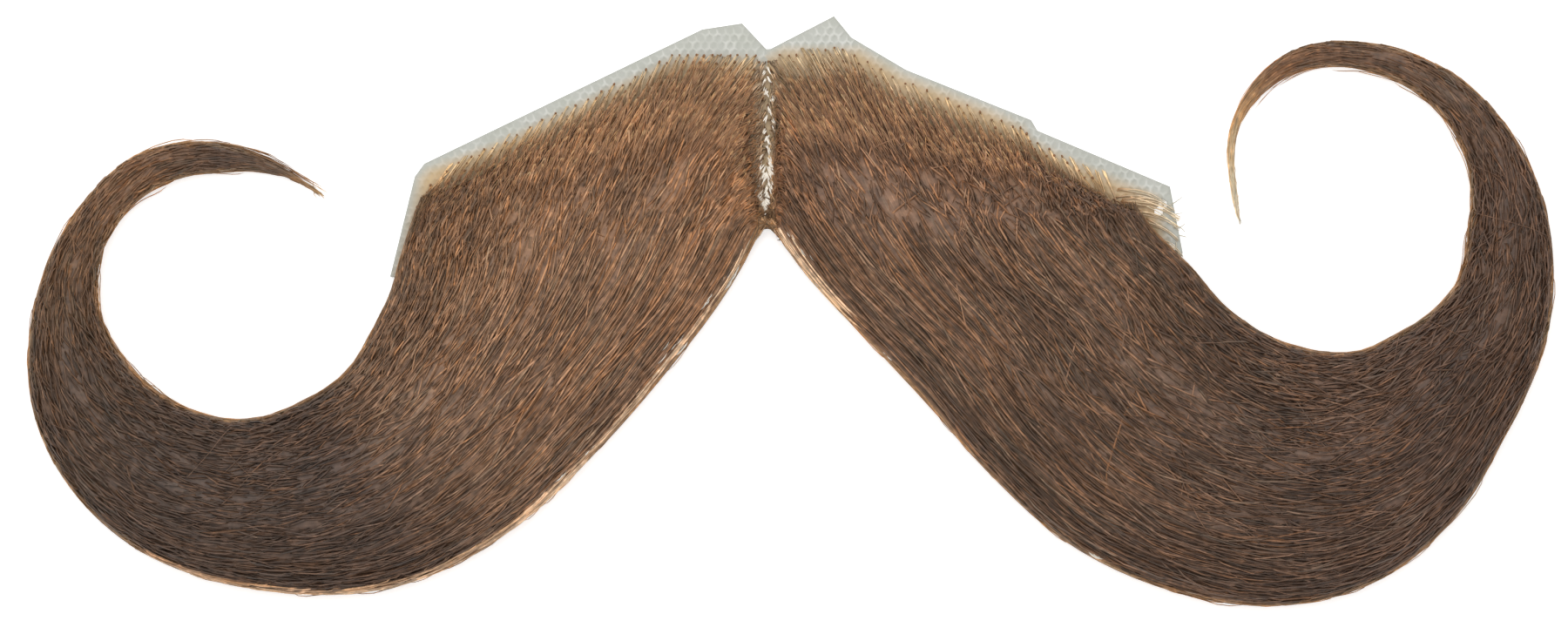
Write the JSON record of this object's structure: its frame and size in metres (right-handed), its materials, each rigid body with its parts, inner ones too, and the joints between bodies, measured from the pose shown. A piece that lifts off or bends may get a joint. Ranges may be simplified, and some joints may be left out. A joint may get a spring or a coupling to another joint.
{
  "type": "fake moustache",
  "caption": "Curled handlebar moustache of brown hair knotted on a lace foundation, lying flat on its lace back.",
  "frame": {"origin": "on the back face of the lace, on the parting, half way up the lip", "axes": "+X towards the right wing as seen from the front, +Y up towards the nose, +Z out of the lip through the hair"},
  "size_m": [0.1648, 0.0638, 0.0085],
  "materials": {
    "lace": "pale lacquered net",
    "hair": "combed and set hair, soft sheen"
  },
  "bodies": {
    "root": {"lace_foundation": "lace", "hair_left": "hair", "hair_right": "hair"}
  },
  "joints": []
}
